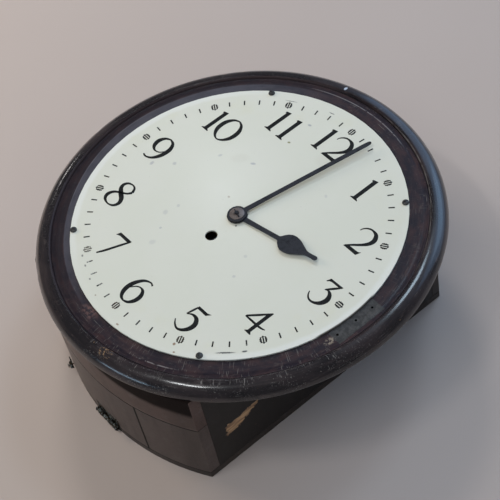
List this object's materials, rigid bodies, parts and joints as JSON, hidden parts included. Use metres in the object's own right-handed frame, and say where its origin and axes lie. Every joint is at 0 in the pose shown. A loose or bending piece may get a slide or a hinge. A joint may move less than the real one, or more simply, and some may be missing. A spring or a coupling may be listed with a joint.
{
  "type": "dial wall clock",
  "caption": "Round-dial wall clock with a turned dark surround, painted Arabic dial, spade hands, box case with a curved hinged bottom and a pendulum movement, laid on its back.",
  "frame": {"origin": "on the dial's axis, in the plane of the case's back", "axes": "+Z out of the dial, +Y towards 12, +X towards 3"},
  "size_m": [0.3728, 0.3728, 0.1435],
  "materials": {
    "ebonised_wood": "black-stained, gloss varnish",
    "case_wood": "dark brown satin varnish",
    "inner_wood": "bare softwood",
    "dial_paint": "painted sheet, pale ivory, slightly glossy",
    "blued_steel": "blued, dark",
    "steel": "plain steel",
    "bronze": "darkened brass",
    "movement_brass": "plain brass",
    "old_brass": "tarnished, some verdigris"
  },
  "bodies": {
    "case": {"back_board": "case_wood", "case_top": "case_wood", "case_side_left": "case_wood", "case_side_right": "case_wood", "case_bottom_left": "case_wood", "case_bottom_right": "case_wood", "case_bottom_rail": "case_wood", "hinge_case_leaf": "old_brass", "hinge_pin": "old_brass", "door_catch_screw": "old_brass", "surround_ring": "ebonised_wood", "surround_moulding": "ebonised_wood", "surround_batten_left": "inner_wood", "surround_batten_right": "inner_wood", "case_peg_1": "inner_wood", "case_peg_2": "inner_wood", "case_peg_3": "inner_wood", "case_peg_4": "inner_wood", "dial_plate": "dial_paint", "dial_screw_1": "bronze", "dial_screw_2": "bronze", "dial_screw_3": "bronze", "dial_screw_4": "bronze", "hanging_plate": "movement_brass", "back_plate": "movement_brass", "front_plate": "movement_brass", "pillar_1": "movement_brass", "pillar_2": "movement_brass", "pillar_3": "movement_brass", "pillar_4": "movement_brass", "click_spring": "movement_brass", "pendulum_cock": "movement_brass"},
    "door": {"bottom_door": "case_wood", "hinge_door_leaf": "old_brass"},
    "door_catch": {"door_catch": "old_brass"},
    "minute_work": {"centre_arbor": "steel", "centre_wheel": "movement_brass", "cannon_pinion": "steel", "minute_hand": "blued_steel", "hand_collet": "bronze"},
    "hour_work": {"hour_wheel": "movement_brass", "hour_hand": "blued_steel"},
    "minute_wheel": {"minute_wheel": "movement_brass"},
    "intermediate_wheel": {"intermediate_wheel": "movement_brass"},
    "barrel": {"barrel": "movement_brass", "barrel_cap": "movement_brass", "mainspring": "steel"},
    "winding_arbor": {"barrel_arbor": "steel", "ratchet_wheel": "steel"},
    "third_wheel": {"third_wheel": "movement_brass"},
    "escape_wheel": {"escape_wheel": "movement_brass"},
    "anchor": {"anchor": "steel", "crutch": "movement_brass"},
    "pendulum": {"suspension_spring": "steel", "pendulum_rod": "steel", "pendulum_bob": "movement_brass"},
    "rating_nut": {"rating_nut": "movement_brass"},
    "click": {"click": "steel"}
  },
  "joints": [
    {"name": "minute_turn", "type": "hinge", "parent": "case", "child": "minute_work", "pos_m": [0, 0, 0.11], "axis": [0, 0, -1], "continuous": true},
    {"name": "hour_turn", "type": "hinge", "parent": "case", "child": "hour_work", "pos_m": [0, 0, 0.13], "axis": [0, 0, -1], "continuous": true},
    {"name": "minute_wheel_turn", "type": "hinge", "parent": "case", "child": "minute_wheel", "pos_m": [0.01061, 0.01061, 0.122], "axis": [0, 0, -1], "continuous": true},
    {"name": "intermediate_turn", "type": "hinge", "parent": "case", "child": "intermediate_wheel", "pos_m": [0.02292, -0.01047, 0.1], "axis": [0, 0, -1], "continuous": true},
    {"name": "barrel_turn", "type": "hinge", "parent": "case", "child": "barrel", "pos_m": [0, -0.0302, 0.092], "axis": [0, 0, -1], "continuous": true},
    {"name": "third_turn", "type": "hinge", "parent": "case", "child": "third_wheel", "pos_m": [-0.01401, 0.01971, 0.1], "axis": [0, 0, -1], "continuous": true},
    {"name": "escape_turn", "type": "hinge", "parent": "case", "child": "escape_wheel", "pos_m": [0, 0.03433, 0.1], "axis": [0, 0, -1], "continuous": true},
    {"name": "winding_turn", "type": "hinge", "parent": "case", "child": "winding_arbor", "pos_m": [0, -0.0302, 0.1], "axis": [0, 0, -1], "continuous": true},
    {"name": "pendulum_swing", "type": "hinge", "parent": "case", "child": "pendulum", "pos_m": [0, 0.0519, 0.06], "axis": [0, 0, 1], "range_deg": [-2.5, 2.5]},
    {"name": "anchor_rock", "type": "hinge", "parent": "case", "child": "anchor", "pos_m": [0, 0.0519, 0.09], "axis": [0, 0, 1], "range_deg": [-2.5, 2.5]},
    {"name": "rating_nut_turn", "type": "hinge", "parent": "pendulum", "child": "rating_nut", "pos_m": [0, -0.1385, 0.06], "axis": [0, 1, 0], "continuous": true},
    {"name": "click_lift", "type": "hinge", "parent": "case", "child": "click", "pos_m": [0.00353, -0.01431, 0.121], "axis": [0, 0, 1], "range_deg": [0, 8]},
    {"name": "door_open", "type": "hinge", "parent": "case", "child": "door", "pos_m": [0, -0.1836, 0.008], "axis": [1, 0, 0], "range_deg": [0, 90]},
    {"name": "catch_turn", "type": "hinge", "parent": "case", "child": "door_catch", "pos_m": [-0.0625, -0.1729, 0.016], "axis": [-0.2822, -0.9594, 0], "range_deg": [-90, 0]}
  ],
  "couplings": [
    {"joint": "hour_turn", "follows": "minute_turn", "ratio": 0.083333},
    {"joint": "minute_wheel_turn", "follows": "minute_turn", "ratio": -0.33333},
    {"joint": "intermediate_turn", "follows": "minute_turn", "ratio": -0.2},
    {"joint": "barrel_turn", "follows": "minute_turn", "ratio": 0.033333},
    {"joint": "third_turn", "follows": "minute_turn", "ratio": -10},
    {"joint": "escape_turn", "follows": "minute_turn", "ratio": 125},
    {"joint": "anchor_rock", "follows": "pendulum_swing", "ratio": 1}
  ]
}
